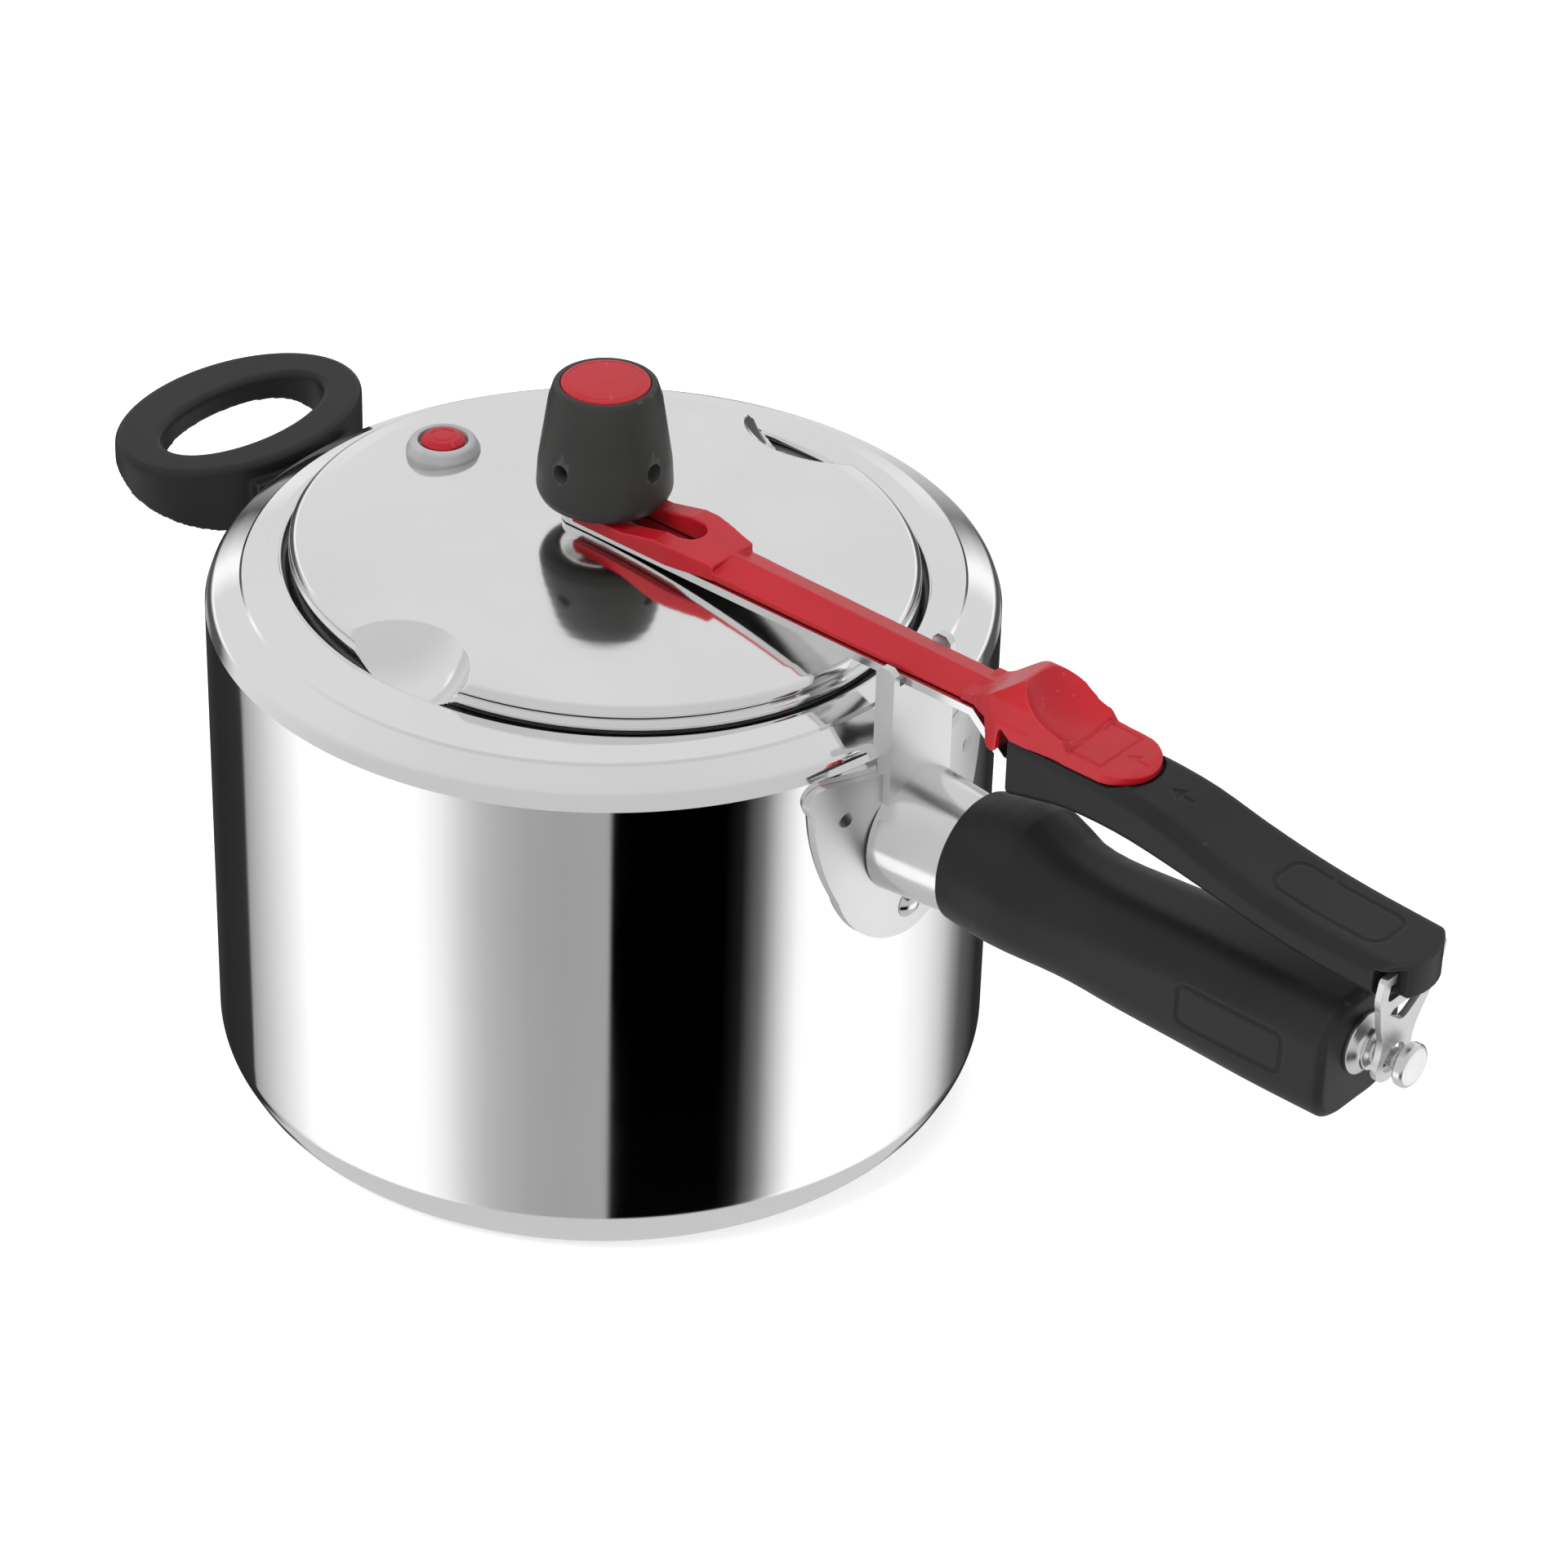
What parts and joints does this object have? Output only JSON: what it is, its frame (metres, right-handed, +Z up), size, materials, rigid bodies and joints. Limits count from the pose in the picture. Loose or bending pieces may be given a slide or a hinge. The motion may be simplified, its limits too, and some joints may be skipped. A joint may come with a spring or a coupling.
{
  "type": "pressure_canner",
  "caption": "Stovetop pressure canner with an inner oval lid, jiggler weight, sliding red release lever, latched long handle and round helper handle.",
  "frame": {"origin": "centre of the pot base, on the surface it stands on", "axes": "+X along the long handle, +Z up through the weight, +Y completes a right-handed frame"},
  "size_m": [0.4249, 0.208, 0.2033],
  "materials": {
    "polished_aluminium": "mirror polished",
    "bright_steel": "bright pressed steel",
    "zinc_steel": "plated steel",
    "black_phenolic": "satin moulded",
    "charcoal_plastic": "fine matte moulded",
    "red_plastic": "semi gloss moulded",
    "grey_silicone": "moulded silicone"
  },
  "bodies": {
    "pot": {"pot_shell": "polished_aluminium", "handle_bracket": "bright_steel", "bracket_rivets": "bright_steel", "handle_tube": "bright_steel", "tube_plug": "zinc_steel", "tie_screw": "zinc_steel", "lower_grip": "black_phenolic", "latch_seat": "zinc_steel", "helper_bracket": "bright_steel", "helper_rivets": "bright_steel", "helper_handle": "black_phenolic", "helper_screw": "zinc_steel"},
    "lid": {"lid_shell": "polished_aluminium", "lid_gasket": "grey_silicone", "lid_arm": "bright_steel", "vent_stem": "zinc_steel", "stem_washer": "zinc_steel", "stem_nut": "zinc_steel", "upper_handle": "black_phenolic", "handle_screws": "zinc_steel", "valve_seal": "grey_silicone"},
    "latch": {"latch_hook": "zinc_steel"},
    "weight": {"weight_shell": "charcoal_plastic", "weight_core": "zinc_steel", "weight_cap": "red_plastic"},
    "lever": {"release_lever": "red_plastic"},
    "valve": {"valve_pin": "red_plastic"}
  },
  "joints": [
    {"name": "lid_lever", "type": "hinge", "parent": "pot", "child": "lid", "pos_m": [0.1065, 0, 0.1621], "axis": [0, -1, 0], "range_deg": [0, 4.5]},
    {"name": "latch_swing", "type": "hinge", "parent": "pot", "child": "latch", "pos_m": [0.2533, 0, 0.1175], "axis": [0, 1, 0], "range_deg": [0, 18]},
    {"name": "lever_slide", "type": "slide", "parent": "lid", "child": "lever", "axis": [-1, 0, 0], "range_m": [0, 0.01]},
    {"name": "weight_lift", "type": "slide", "parent": "lid", "child": "weight", "axis": [0, 0, 1], "range_m": [0, 0.0024]},
    {"name": "safety_pin", "type": "slide", "parent": "lid", "child": "valve", "axis": [0, 0, 1], "range_m": [0, 0.0025]}
  ],
  "couplings": [
    {"joint": "latch_swing", "follows": "lid_lever", "ratio": 4},
    {"joint": "weight_lift", "follows": "lever_slide", "ratio": 0.22}
  ]
}
